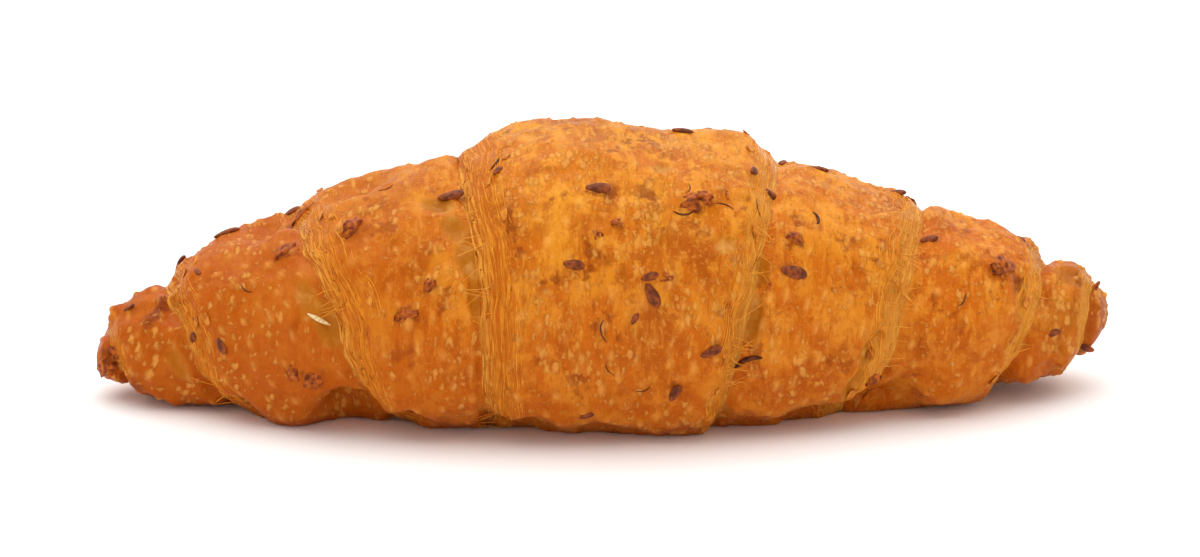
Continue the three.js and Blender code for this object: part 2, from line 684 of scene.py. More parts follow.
@dataclass(frozen=True)
class BakedCrust:
    """Baked, butter-laminated dough.

    To the eye it is mottled gold and amber, a little translucent, satin where the skin is smooth, with pale
    blisters and reddish scorched marks. The cut edges show their layers as fine light threads, with dark
    slits between them. Light and shade are painted into its colour as well: paler and yellower on the top,
    deeper low on the sides and towards the left, a painted highlight in the blisters' pale and a painted
    sheen on the glassy skin.
    """

    golden: str = "#cc6a10"
    # Blister colour: partly the blisters' own paler skin, partly a painted highlight.
    pale: str = "#f6b25e"
    rim: str = "#ab500c"
    thread: str = "#ea8f29"
    shade: str = "#c4620f"
    slit: str = "#8c3e0c"
    glass: str = "#b9741e"
    # Painted sheen: the pale, milky folds on the glassy skin stand in for its soft reflection.
    painted_sheen: str = "#e8b76e"
    torn: str = "#f6b658"
    scorched: str = "#7c340e"
    # Painted shade: a deeper, browner colour laid low on the sides and towards the left.
    painted_shade: str = "#b85608"
    bake: str = "#f3eed0"
    stains: tuple[Stain, ...] = tuple(
        Stain(*row)
        for row in (
            ("#e5902a", 11.0, 0.46, 0.62, 0.80, 2.0), ("#b05208", 13.0, 0.50, 0.66, 0.80, 3.0),
            ("#ea9a3a", 1.1, 0.50, 0.70, 0.42, 2.0, 4.0), ("#a84f0a", 0.9, 0.52, 0.68, 0.42, 2.0, 4.5),
            ("#e99838", 3.4, 0.51, 0.61, 0.50, 4.0), ("#a64c0a", 4.2, 0.54, 0.66, 0.55, 5.0),
            ("#8a370a", 6.0, 0.58, 0.66, 0.75, 6.0), ("#f2ac54", 0.7, 0.56, 0.70, 0.38, 2.0),
            ("#96460a", 0.8, 0.58, 0.72, 0.42, 2.0, 1.5),
        )
    )
    blister_layers: tuple[BlisterLayer, ...] = (
        BlisterLayer(1.35, 1.0, 0.36, 0.46, 0.38),
        BlisterLayer(2.3, 1.5, 0.33, 0.46, 0.52),
        BlisterLayer(4.0, 2.4, 0.24, 0.32, 0.46),
    )
    thread_layer: ThreadLayer = ThreadLayer(4.5, 19.0, 0.34, 0.66)
    slit_layer: ThreadLayer = ThreadLayer(2.2, 10.0, 0.33, 0.27)
    # Painted light: between these heights the top turns paler and yellower; below the first, painted shade
    # deepens the sides.
    painted_light_heights: tuple[float, float] = (26 * MM, 46 * MM)
    painted_light_hue: float = 0.007
    painted_light_value: float = 1.05
    paler_side: tuple[float, float] = (12 * MM, 28 * MM)
    # Painted shade: the crust deepens towards the left between these places along X.
    shaded_left_side: tuple[float, float] = (-8 * MM, -62 * MM)
    ior: float = 1.46
    specular: float = 0.075
    through: float = 0.15
    roughness: tuple[float, float] = (0.26, 0.52)

    def make(self) -> Finish:
        """Builds the material.

        Returns:
            The material.
        """
        mix = Recipe("baked_laminated_crust")
        place = mix.add("TexCoord").outputs["Object"]
        dough, edge = (mix.add("UVMap", uv_map=name).outputs["UV"] for name in ("Dough", "Edge"))
        across = mix.part(edge, "X")
        glassy = mix.stored("glassy")
        plain = mix.reckon("SUBTRACT", 1.0, glassy)

        colour = self.browning_and_painted_light(mix, place, self.mottling(mix, dough))
        paleness, rims, blisters = self.blisters(mix, dough, plain)
        colour = mix.blend(rims, colour, self.rim)
        # Pale blisters: partly their own colour, partly a painted highlight.
        colour = mix.blend(paleness, colour, self.pale)
        colour = self.glaze(mix, place, glassy, colour)
        layers = self.thread_layer, self.slit_layer
        threads, slits = (self.lines(mix, mix.part(dough, "X"), across, layer) for layer in layers)
        light = mix.blend(mix.ramp(across, 0.5, 1.0, 0.0, 0.8), self.thread, self.torn)
        layered = mix.blend(slits, mix.blend(threads, self.shade, light), self.slit)
        paler = mix.ramp(mix.part(place, "X"), *self.paler_side, 0.0, 0.38)
        on_edge = self.frayed_edge(mix, place, across)
        colour = mix.blend(on_edge, colour, mix.blend(paler, layered, self.torn))

        grain = mix.noise(place, 0.7 * MM, 4.0)
        rough = mix.ramp(grain, 0.35, 0.65, *self.roughness)
        relief = mix.bump(mix.reckon("MULTIPLY", threads, on_edge), 0.25, 0.7)
        relief = mix.bump(blisters, 0.45, 0.9, relief)
        return mix.finish(
            {
                "Base Color": mix.blend(1.0, colour, self.bake, blend_type="MULTIPLY"),
                "Roughness": mix.reckon("MULTIPLY", rough, mix.reckon("MULTIPLY_ADD", plain, 0.7, 0.3)),
                "Normal": mix.bump(grain, 0.18, 0.8, relief),
                "IOR": self.ior,
                "Specular IOR Level": self.specular,
                "Subsurface Weight": self.through,
                "Subsurface Radius": (1.0, 0.3, 0.06),
                "Subsurface Scale": 2.0 * MM,
            }
        )

    def mottling(self, mix: Recipe, dough: Socket) -> Socket:
        """Lays the stains over the golden ground, one after another.

        Args:
            mix: the material's nodes.
            dough: millimetres round and along the roll.

        Returns:
            The colour.
        """
        colour: Any = self.golden
        for number, stain in enumerate(self.stains):
            scale = (1 / (stain.size * stain.stretch), 1 / stain.size, 1.0)
            offset = (3.1 * number, 7.7 * number, 5.3 * number)
            spread = mix.add("Mapping", {"Vector": dough, "Scale": scale, "Location": offset}).outputs[0]
            found = mix.noise(spread, 1.0, stain.detail, Roughness=0.62)
            cover = mix.ramp(found, stain.low, stain.high, 0.0, stain.strength)
            colour = mix.blend(cover, colour, stain.colour)
        return colour

    def browning_and_painted_light(self, mix: Recipe, place: Socket, colour: Socket) -> Socket:
        """Browns the horns' tips in patches; paints shade low and to the left, and light on the top.

        Args:
            mix: the material's nodes.
            place: object coordinates.
            colour: the colour so far.

        Returns:
            The browned colour.
        """
        along, up = mix.part(place, "X"), mix.part(place, "Z")
        patches = mix.noise(place, 6 * MM, 4.0)
        ragged = mix.reckon("MULTIPLY_ADD", patches, 36 * MM, mix.reckon("ABSOLUTE", along))
        colour = mix.blend(mix.ramp(ragged, 88 * MM, 110 * MM, 0.0, 0.55), colour, self.scorched)
        # Painted shade: deeper towards the left, where less light falls.
        colour = mix.blend(mix.ramp(along, *self.shaded_left_side, 0.0, 0.7), colour, self.painted_shade)
        # Painted light: hue and value rise towards the top, so the top is paler and yellower.
        hue = mix.ramp(up, *self.painted_light_heights, 0.5, 0.5 + self.painted_light_hue)
        lighter = mix.ramp(up, *self.painted_light_heights, 1.0, self.painted_light_value)
        shift = {"Hue": hue, "Saturation": 1.0, "Value": lighter, "Color": colour}
        colour = mix.add("HueSaturation", shift).outputs["Color"]
        # Painted shade: deeper low on the sides.
        colour = mix.blend(mix.ramp(up, self.painted_light_heights[0], 4 * MM, 0.0, 0.45), colour, self.painted_shade)
        marks = mix.noise(place, 1.8 * MM, 5.0)
        browned = mix.reckon("MULTIPLY_ADD", marks, 1.0, mix.stored("scorched"))
        return mix.blend(mix.ramp(browned, 0.9, 1.25, 0.0, 0.85), colour, self.scorched)

    def blisters(self, mix: Recipe, dough: Socket, plain: Socket) -> tuple[Any, Any, Any]:
        """Makes the pale blisters: the large ones that the mesh has, and smaller ones of several sizes.

        Args:
            mix: the material's nodes.
            dough: millimetres round and along the roll.
            plain: 0 where the skin is glassy, 1 elsewhere.

        Returns:
            How pale the crust is, how far a point is on a blister's dark rim, and the blisters' height.
        """
        pale = mix.reckon("MULTIPLY", mix.stored("blister"), 0.6)
        rims: Any = 0.0
        height: Any = 0.0
        wander, crowd = mix.flat_noise(dough, 0.9, 2.0), mix.flat_noise(dough, 0.07, 1.0)
        stray = {0: wander.outputs["Color"], 1: (1.3, 0.9, 0), 2: dough}
        bent = mix.add("VectorMath", stray, operation="MULTIPLY_ADD").outputs[0]
        for layer in self.blister_layers:
            scale = (1 / layer.length, 1 / layer.width, 1.0)
            cells = mix.add("Mapping", {"Vector": bent, "Scale": scale}).outputs[0]
            cell = mix.add("TexVoronoi", {"Vector": cells, "Scale": 1.0}, voronoi_dimensions="2D")
            lot = mix.add("SeparateColor", {0: cell.outputs["Color"]}).outputs["Red"]
            luck = mix.reckon("MULTIPLY", mix.reckon("MULTIPLY_ADD", crowd.outputs["Fac"], 0.8, lot), plain)
            radius = mix.ramp(luck, 1.4 - layer.share, 1.4, 0.0, layer.radius)
            inside = mix.reckon("SUBTRACT", radius, cell.outputs["Distance"])
            dome = mix.ramp(inside, -0.05, 0.30)
            ring = mix.ramp(inside, -0.14, 0.02, 0.0, 0.24)
            ring = mix.reckon("MULTIPLY", ring, mix.ramp(radius, 0.05, 0.12))
            # Each blister's paleness, partly a painted highlight.
            pale = mix.reckon("MAXIMUM", pale, mix.reckon("MULTIPLY", dome, layer.paleness))
            rims = mix.reckon("MAXIMUM", rims, ring)
            height = mix.reckon("MULTIPLY_ADD", dome, layer.width / 3, height)
        return pale, rims, height

    def glaze(self, mix: Recipe, place: Socket, glassy: Socket, colour: Socket) -> Socket:
        """Colours the thin glassy skin over hollows, with folds of painted sheen, pale and milky, in it.

        Args:
            mix: the material's nodes.
            place: object coordinates.
            glassy: how glassy the skin is.
            colour: the colour so far.

        Returns:
            The glazed colour.
        """
        folds = mix.noise(place, 3.0 * MM, 4.0, Distortion=0.4)
        # Painted sheen: pale milky folds over the glassy skin.
        skin = mix.blend(mix.ramp(folds, 0.46, 0.70, 0.0, 0.6), self.glass, self.painted_sheen)
        return mix.blend(mix.reckon("MULTIPLY", glassy, 0.72), colour, skin)

    def lines(self, mix: Recipe, round_mm: Socket, across: Socket, layer: ThreadLayer) -> Socket:
        """Draws one layer of the lines that run along the seam.

        Args:
            mix: the material's nodes.
            round_mm: millimetres round the roll.
            across: where a point lies on the cut edge, 0 off it.
            layer: the lines' size and strength.

        Returns:
            How far a point is on a line.
        """
        width = mix.reckon("MULTIPLY", across, layer.lines)
        length = mix.reckon("MULTIPLY", round_mm, 1 / layer.length)
        spread = mix.add("CombineXYZ", {0: length, 1: width}).outputs[0]
        weave = mix.flat_noise(spread, 1.0, 4.0, Distortion=0.9)
        return mix.ramp(weave.outputs["Fac"], layer.low, layer.high)

    def frayed_edge(self, mix: Recipe, place: Socket, across: Socket) -> Socket:
        """How far a point belongs to the cut edge, which frays out into the skin."""
        frayed = mix.reckon("MULTIPLY_ADD", mix.noise(place, 2.2 * MM, 5.0), 1.1, across)
        return mix.reckon("MULTIPLY", mix.ramp(frayed, 0.62, 0.95, 0.0, 0.85), mix.ramp(across, 0.0, 0.06))


@dataclass(frozen=True)
class Mottled:
    """A plain finish of two colours in small cloudy patches, glossy or dull.

    size is the patches' size and bump the relief's height, both in mm, and through how much light goes
    through.
    """

    name: str
    light: str
    dark: str
    size: float
    roughness: float
    specular: float
    bump: float = 0.05
    through: float = 0.0

    def make(self) -> Finish:
        """Builds the material.

        Returns:
            The material.
        """
        mix = Recipe(self.name)
        patches = mix.noise(mix.add("TexCoord").outputs["Object"], self.size * MM, 3.0)
        share = mix.add("MapRange", {"Value": patches, "From Min": 0.38, "From Max": 0.62}).outputs["Result"]
        return mix.finish(
            {
                "Base Color": mix.blend(share, self.dark, self.light),
                "Normal": mix.bump(patches, self.bump, 0.8),
                "Roughness": self.roughness,
                "Specular IOR Level": self.specular,
                "Subsurface Weight": self.through,
                "Subsurface Radius": (1.0, 0.4, 0.1),
                "Subsurface Scale": 1.0 * MM,
            }
        )


# Dark red-brown and satin.
LINSEED_HULL = Mottled("baked_linseed_hull", "#94471f", "#5a2a14", 1.1, 0.4, 0.12)
# Red-brown, and a little glassy.
TOASTED_GRAIN = Mottled("toasted_grain", "#bd5f1c", "#6e2b0a", 0.9, 0.4, 0.12, 0.2)
# Dark brown and matt.
BRAN = Mottled("bran", "#6a3014", "#3a180a", 0.8, 0.5, 0.15)
# Golden threads that let some light through.
TORN_DOUGH = Mottled("torn_dough", "#ee9630", "#cd6c14", 2.0, 0.6, 0.06, 0.03, 0.2)
# Pale fine strands, which let light through too.
STRETCHED_DOUGH = Mottled("stretched_dough", "#f0a040", "#d98222", 2.0, 0.6, 0.06, 0.03, 0.2)
# Thin, crisp and golden-brown.
CRISP_FLAKE = Mottled("crisp_pastry_flake", "#e08c2c", "#a8560c", 1.6, 0.5, 0.15, 0.05, 0.2)
# Pale straw, nearly matt.
OAT_HUSK = Mottled("oat_husk", "#ecd2a0", "#c79a5a", 0.6, 0.5, 0.3, 0.05, 0.1)


# ------------------------------------------------------------------------------------------------------
# Sub-assemblies
# ------------------------------------------------------------------------------------------------------


@dataclass
class Crust:
    """The whole outside of the croissant, as one closed skin."""

    roll: Roll
    local_swells: tuple[Swell, ...] = ()
    rows_per_turn: int = 208
    base_rows: int = 14
    base_share: float = 0.18
    body_columns: int = 32
    edge_columns: int = 14
    scorch_reach: float = 1.5
    weld: float = 0.002
    far: float = 99.0
    edge_spread: float = 7.0
    blister_height: float = 0.48
    blister_gap: float = 1.5
    blister_length: tuple[float, float] = (0.9, 1.9)
    blister_width: tuple[float, float] = (0.6, 1.1)
    blister_strength: tuple[float, float] = (0.35, 1.0)
    swells: tuple[tuple[float, float], ...] = ((30.0, 1.4), (13.0, 1.0), (6.5, 0.6), (3.4, 0.3))
    girth_places: tuple[float, ...] = (0, 30, 52, 68, 80, 94)
    girths: tuple[float, ...] = (165, 150, 125, 98, 60, 20)

    def turns(self) -> Array:
        """The turn of each row of the dough, spaced wide on the flat base, where little shows.

        Returns:
            The turns, in rising order.
        """
        first = round(self.roll.first_turn / self.base_share * self.base_rows)
        last = math.floor(self.roll.last_turn)
        half_base = self.base_share / 2
        shares = np.concatenate(
            [
                np.linspace(0, half_base, self.base_rows // 2, endpoint=False),
                np.linspace(half_base, 1 - half_base, self.rows_per_turn - self.base_rows, endpoint=False),
                np.linspace(1 - half_base, 1, self.base_rows // 2, endpoint=False),
            ]
        )
        whole = np.concatenate([shares + turn for turn in range(-1, last + 1)] + [[last + 1.0]])
        start = self.rows_per_turn + first
        stop = int(np.searchsorted(whole, self.roll.last_turn - 1e-9)) + 1
        return whole[start:stop]

    def dough(self, side: Side) -> Piece:
        """Rolls up one half of the dough triangle.

        Args:
            side: which half.

        Returns:
            An open mesh, in mm, with the UV maps and values that its finish reads.
        """
        turns = self.turns()
        columns, rows = self.body_columns + self.edge_columns, len(turns) - 1
        bpy.ops.mesh.primitive_grid_add(x_subdivisions=columns, y_subdivisions=rows, size=1)
        sheet = bpy.context.active_object
        flat = vertex_places(sheet)
        column = np.rint((flat[:, 0] + 0.5) * columns).astype(int)
        row = np.rint((flat[:, 1] + 0.5) * rows).astype(int)

        inner, outer = self.roll.seam_reach(side, turns - 1), self.roll.seam_reach(side, turns)
        edge = self.roll.edge_width(side, turns, outer - inner)[row]
        inner_depth, outer_depth = (self.roll.depth(side, at)[row] for at in (turns - 1, turns))
        turn, inner, outer = turns[row], inner[row], outer[row]
        width = outer - inner
        body = np.minimum(column / self.body_columns, 1)
        across = np.clip((column - self.body_columns) / self.edge_columns, 0, 1)
        reach = inner + body * (width - edge) + across * edge
        share = np.clip((reach - inner) / np.maximum(width, 1e-6), 0, 1)

        below = inner_depth * (1 - share) ** self.roll.puff + outer_depth * smoothstep(across, 0, 1)
        for depth, distance in ((inner_depth, reach - inner), (outer_depth, outer - reach)):
            groove = self.roll.groove * np.minimum(depth, 1.0)
            below += groove * (1 - smoothstep(distance, 0, self.roll.groove_width))
        signed = side.value * reach
        smooth = self.roll.point(turn, signed, np.zeros_like(signed))
        move_vertices(sheet, self.roll.point(turn, signed, self.swelling(smooth) - below))

        round_mm = self.round_distance(turn)
        no_seam = self.far * (inner <= 0)
        write_uv(sheet, "Dough", round_mm, signed)
        write_uv(sheet, "Edge", across, np.minimum(reach - inner + no_seam, self.far))
        write_values(sheet, "gap", np.minimum(reach - inner + no_seam, outer - reach))
        for name, values in {"across": across, "round": round_mm, "turn": turn}.items():
            write_values(sheet, name, values)
        return sheet

    def round_distance(self, turn: Array) -> Array:
        """The length of dough rolled up after so many turns, in mm, down the middle of the right wraps.

        Args:
            turn: turns round the roll.

        Returns:
            The length at each turn.
        """
        fine = np.linspace(self.roll.first_turn, self.roll.last_turn, 500)
        middle = (self.roll.seam_reach(Side.RIGHT, fine) + self.roll.seam_reach(Side.RIGHT, fine - 1)) / 2
        girth = np.interp(middle, self.girth_places, self.girths)
        rolled = np.concatenate([[0], np.cumsum((girth[1:] + girth[:-1]) / 2 * np.diff(fine))])
        return np.interp(turn, fine, rolled)

    def swelling(self, points: Array) -> Array:
        """How far the puffed dough stands proud of an even roll, in mm."""
        return sum(height * cloud(points, size, seed) for seed, (size, height) in enumerate(self.swells))

    def build(self, material: Finish) -> Piece:
        """Rolls both halves, welds them, roughens them and presses the base flat.

        Args:
            material: the finish.

        Returns:
            The crust.
        """
        crust = join("crust", [self.dough(side) for side in Side])
        bpy.ops.object.mode_set(mode="EDIT")
        bpy.ops.mesh.select_all(action="SELECT")
        bpy.ops.mesh.remove_doubles(threshold=self.weld)
        bpy.ops.mesh.dissolve_degenerate(threshold=self.weld)
        bpy.ops.mesh.normals_make_consistent(inside=False)
        bpy.ops.object.mode_set(mode="OBJECT")
        self.roughen(crust)
        self.place(crust)
        bpy.ops.object.shade_smooth()
        return dress(crust, material)

    def roughen(self, crust: Piece) -> None:
        """Raises blisters and wrinkles on the welded crust, and the layers of its cut edges.

        Args:
            crust: the welded crust, in mm.
        """
        points, normals = self.surface(crust)
        count = len(points)
        gap, across, travel = (read_values(crust, name) for name in ("gap", "across", "round"))

        clear = smoothstep(gap, 0.0, 1.2)
        on_edge = smoothstep(across, 0.0, 0.25)
        edge_places = np.column_stack([travel, across * self.edge_spread, np.zeros(count)])
        layers = 0.30 * cloud(edge_places, (9.0, 0.9, 1.0), 11)
        layers += 0.25 * cloud(edge_places, (5.0, 2.2, 1.0), 12)
        dough_places = np.column_stack([travel, points[:, 0], np.zeros(count)])
        wrinkles = 0.20 * cloud(dough_places, (4.5, 1.8, 1.0), 13) + 0.14 * cloud(points, 1.7, 14)
        tree = self.search_tree(points)
        taken = (across > 0.1) | (gap < self.blister_gap) | (points[:, 2] < 1.0)
        blister = self.blisters(tree, points, normals, taken)
        share = read_values(crust, "turn") % 1
        local, glassy, scorched = self.swell_locally(share, tree, points, normals)
        raised = clear * (on_edge * layers + (1 - on_edge) * wrinkles * (1 - glassy))
        raised += self.blister_height * blister * (1 - glassy) + local
        shown = {"blister": blister * (1 - glassy), "glassy": glassy, "scorched": scorched}
        for name, values in shown.items():
            write_values(crust, name, values)
        move_vertices(crust, points + normals * raised[:, None])

    def surface(self, crust: Piece) -> tuple[Array, Array]:
        """Reads the crust's vertices and their normals, as two N by 3 arrays."""
        normals = np.empty(len(crust.data.vertices) * 3)
        crust.data.vertex_normals.foreach_get("vector", normals)
        return vertex_places(crust), normals.reshape(-1, 3)

    def search_tree(self, points: Array) -> kdtree.KDTree:
        """Prepares a search for the vertices near a place.

        Args:
            points: the vertices, in mm.

        Returns:
            The search tree.
        """
        tree = kdtree.KDTree(len(points))
        for i, point in enumerate(points.tolist()):
            tree.insert(point, i)
        tree.balance()
        return tree

    def swell_locally(
        self, share: Array, tree: kdtree.KDTree, points: Array, normals: Array
    ) -> tuple[Array, Array, Array]:
        """Raises the crust over what is baked into it, and sinks its hollows.

        Args:
            share: each vertex's share of a turn.
            tree: the search tree of the vertices.
            points: the vertices, in mm.
            normals: their normals.

        Returns:
            The rise at each vertex, in mm, how glassy the skin is there, and how scorched.
        """
        raised, glassy, scorched = (np.zeros(len(points)) for _ in range(3))
        for swell in self.local_swells:
            middle = nearest_spot(points[:, 0], share, swell.spot)
            out = normals[middle]
            long_way = lying(out, swell.spot.lie)
            reach = max(swell.length, swell.width) * self.scorch_reach
            near = np.array([j for _, j, _ in tree.find_range(points[middle].tolist(), reach)])
            offset = points[near] - points[middle]
            far = np.hypot(offset @ long_way / swell.length, offset @ np.cross(out, long_way) / swell.width)
            cover = 1 - smoothstep(far, 0.1, 1.0)
            raised[near] += swell.height * cover
            glassy[near] = np.maximum(glassy[near], swell.glassy * (1 - smoothstep(far, 0.6, 1.0)))
            browned = swell.scorched * (1 - smoothstep(far, 0.2, self.scorch_reach))
            scorched[near] = np.maximum(scorched[near], browned)
        return raised, glassy, scorched

    def blisters(self, tree: kdtree.KDTree, points: Array, normals: Array, taken: Array) -> Array:
        """Scatters blisters, longest round the roll.

        Args:
            tree: the search tree of the crust's vertices.
            points: the vertices, in mm.
            normals: their normals.
            taken: where no blister can start.

        Returns:
            The share of a blister's height at each vertex.
        """
        chance = random.Random(7)
        order = list(range(len(points)))
        chance.shuffle(order)
        crowd = 0.5 + 0.5 * cloud(points, 14.0, 21)
        height = np.zeros(len(points))
        for i in order:
            if taken[i]:
                continue
            spacing = 2.6 + 5.0 * chance.random() * crowd[i]
            near = np.array([j for _, j, _ in tree.find_range(points[i].tolist(), spacing)])
            taken[near] = True
            length, width = chance.uniform(*self.blister_length), chance.uniform(*self.blister_width)
            strength = chance.uniform(*self.blister_strength)
            out = normals[i]
            along = lying(out, 0.0)
            offset = points[near] - points[i]
            far = np.hypot(offset @ along / width, offset @ np.cross(out, along) / length)
            height[near] = np.maximum(height[near], strength * (1 - smoothstep(far, 0.15, 1.0)))
        return height

    def place(self, crust: Piece) -> None:
        """Presses the base flat, moves the crust to the middle of the frame and turns it into metres.

        Args:
            crust: the roughened crust, in mm.
        """
        points = vertex_places(crust)
        points[:, 2] = np.maximum(points[:, 2], 0)
        low, high = points.min(0), points.max(0)
        self.shift = np.array([(low[0] + high[0]) / 2, (low[1] + high[1]) / 2, low[2]])
        move_vertices(crust, (points - self.shift) * MM)

    def bed(self, crust: Piece) -> Bed:
        """Prepares the finished crust for setting things on it.

        Args:
            crust: the finished crust.

        Returns:
            The crust's surface, with a search for its nearest point.
        """
        points, normals = self.surface(crust)
        faces = [tuple(face.vertices) for face in crust.data.polygons]
        search = bvhtree.BVHTree.FromPolygons(points.tolist(), faces)
        return Bed(points, normals, read_values(crust, "turn") % 1, search, self.shift)


@dataclass
class Bed:
    """The finished crust as a surface to set things on, in metres."""

    points: Array
    normals: Array
    shares: Array
    search: bvhtree.BVHTree
    shift: Array

    def normal_at(self, spot: Spot) -> tuple[Array, Array]:
        """The crust's point nearest to a spot, and its normal there."""
        nearest = nearest_spot(self.points[:, 0] / MM, self.shares, spot)
        return self.points[nearest], self.normals[nearest]

    def setting(self, spot: Spot, lift: float = 0.0) -> Matrix:
        """Turns and moves a small piece from the origin to a spot.

        Args:
            spot: where the piece goes; its long side, along X, takes the spot's lie, and its top faces out.
            lift: how far out of the crust its middle goes, in mm.

        Returns:
            The transformation, with the spot's scale.
        """
        point, out = self.normal_at(spot)
        long_way = lying(out, spot.lie)
        axes = Matrix((long_way, np.cross(out, long_way), out)).transposed().to_4x4()
        place = Vector(point + out * lift * MM)
        return Matrix.Translation(place) @ axes @ Matrix.Scale(spot.size, 4)

    def settle(self, point: Array, lift: float) -> Vector:
        """Moves a point, in mm on the even roll, onto the crust, and out of it by a lift in mm."""
        return self.press(Vector((point - self.shift) * MM), lift)

    def press(self, point: Vector, lift: float) -> Vector:
        """Moves a point, in metres, onto the crust, and out of it by a lift in mm."""
        place, out, _, _ = self.search.find_nearest(point)
        return place + out * lift * MM


def scatter(chance: random.Random, count: int, along: float, shares: tuple[float, float]) -> list[Spot]:
    """Picks spots at random on the parts of the crust that face away from the front.

    Args:
        chance: the source of random numbers.
        count: how many.
        along: the farthest from the middle, in mm.
        shares: the range of the share of a turn.

    Returns:
        The spots, each with its own lie and size.
    """
    return [
        Spot(*(chance.uniform(*span) for span in ((-along, along), shares, (-90, 90), (0.8, 1.1))))
        for _ in range(count)
    ]


@dataclass
class Linseeds:
    """Whole linseeds, lying flat and half sunk in the crust."""

    bed: Bed
    spots: Sequence[Spot]
    length: float = 4.5
    width: float = 2.35
    thickness: float = 1.3
    segments: int = 12
    rings: int = 8
    point_share: float = 0.4
    lift: float = -0.1
    tilt: float = 11.0

    def build(self, material: Finish) -> Piece:
        """Models one seed and sets a copy at each spot.

        Args:
            material: the finish.

        Returns:
            The seeds, as one piece.
        """
        bpy.ops.mesh.primitive_uv_sphere_add(segments=self.segments, ring_count=self.rings, radius=0.5)
        seed = bpy.context.active_object
        select_only(seed)
        bpy.ops.object.mode_set(mode="EDIT")
        bpy.ops.mesh.select_all(action="SELECT")
        bpy.ops.transform.rotate(value=math.pi / 2, orient_axis="Y", center_override=(0, 0, 0))
        bpy.ops.object.mode_set(mode="OBJECT")
        bpy.ops.object.shade_smooth()
        x, y, z = vertex_places(seed).T
        narrow = 1 - self.point_share * np.maximum(0.0, 0.25 - x)
        shape(seed, x * self.length, y * self.width * narrow, z * self.thickness * narrow)
        chance = random.Random(41)
        settings = [self.bed.setting(spot, self.lift) @ self.tip(chance) for spot in self.spots]
        seeds = join_copies("linseeds", seed, settings)
        return dress(seeds, material)

    def tip(self, chance: random.Random) -> Matrix:
        """Tips a seed a little, so that one end sinks into the dough."""
        endwise = Matrix.Rotation(math.radians(chance.uniform(-self.tilt, self.tilt)), 4, "Y")
        return endwise @ Matrix.Rotation(math.radians(chance.uniform(-self.tilt, self.tilt)), 4, "X")


@dataclass
class Kibbles:
    """Broken toasted grains, knobbly and mostly sunk in the crust."""

    bed: Bed
    spots: Sequence[Spot]
    size: float = 2.6
    flatness: float = 0.5
    knobs: float = 0.9
    lift: float = -0.3
    shapes: int = 3

    def model(self, seed: int) -> Piece:
        """Models one broken grain.

        Args:
            seed: picks its shape.

        Returns:
            The grain, in metres, at the origin.
        """
        bpy.ops.mesh.primitive_ico_sphere_add(subdivisions=2, radius=0.5)
        grain = bpy.context.active_object
        bpy.ops.object.shade_smooth()
        rounded = vertex_places(grain)
        knobbly = 1 + self.knobs * cloud(rounded, 0.4, seed)
        stretch = np.array([1.25, 0.85, self.flatness]) * self.size * MM
        move_vertices(grain, rounded * knobbly[:, None] * stretch)
        return grain

    def build(self, material: Finish) -> Piece:
        """Models a few shapes of grain and sets them in turn at the spots.

        Args:
            material: the finish.

        Returns:
            The grains, as one piece.
        """
        parts = []
        for seed in range(self.shapes):
            settings = [self.bed.setting(spot, self.lift) for spot in self.spots[seed :: self.shapes]]
            parts.append(join_copies("grain_kibbles", self.model(seed), settings))
        return dress(join("grain_kibbles", parts), material)


